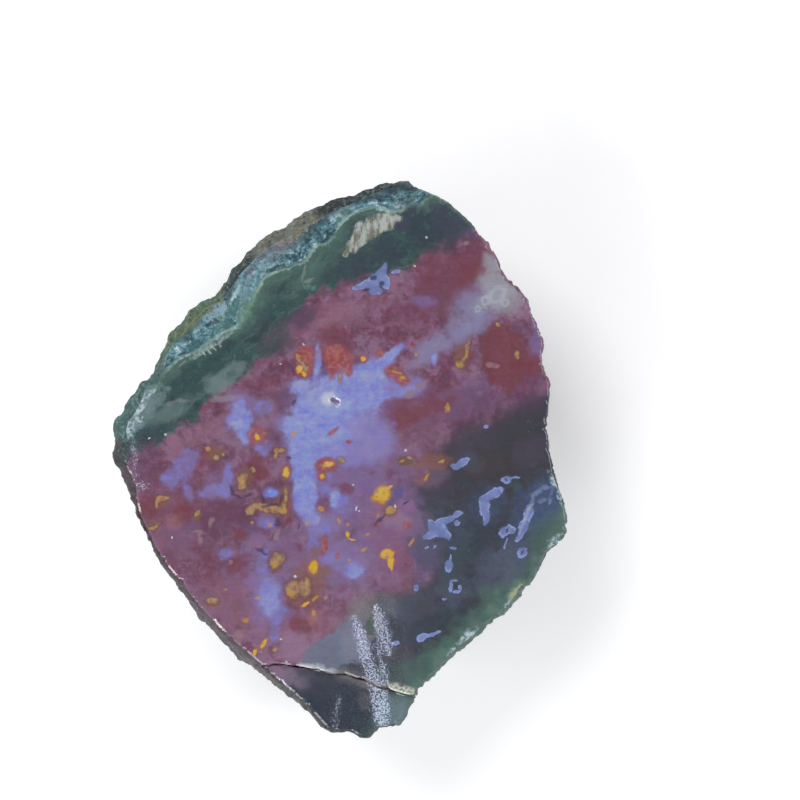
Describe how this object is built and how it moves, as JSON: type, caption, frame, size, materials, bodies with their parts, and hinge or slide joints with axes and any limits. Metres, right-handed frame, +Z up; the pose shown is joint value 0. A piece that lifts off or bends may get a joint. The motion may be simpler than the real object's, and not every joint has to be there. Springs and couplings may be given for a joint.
{
  "type": "rough landscape agate",
  "caption": "Hand-sized rough moss agate lying on its lumpy back, with one sawn face up that shows green rind, purple and lavender clouds and yellow eyes.",
  "frame": {"origin": "on the ground under the middle of the stone as it lies on its back", "axes": "+Z up, out of the sawn face; +Y along the long side of the face towards its top tip; +X to the right, as the picture shows the face"},
  "size_m": [0.1006, 0.1229, 0.034],
  "materials": {
    "agate_stone": "sawn face smooth and glossy, plum and lavender with dark green bands; the wall and back are rough and matt"
  },
  "bodies": {
    "root": {"agate": "agate_stone"}
  },
  "joints": []
}
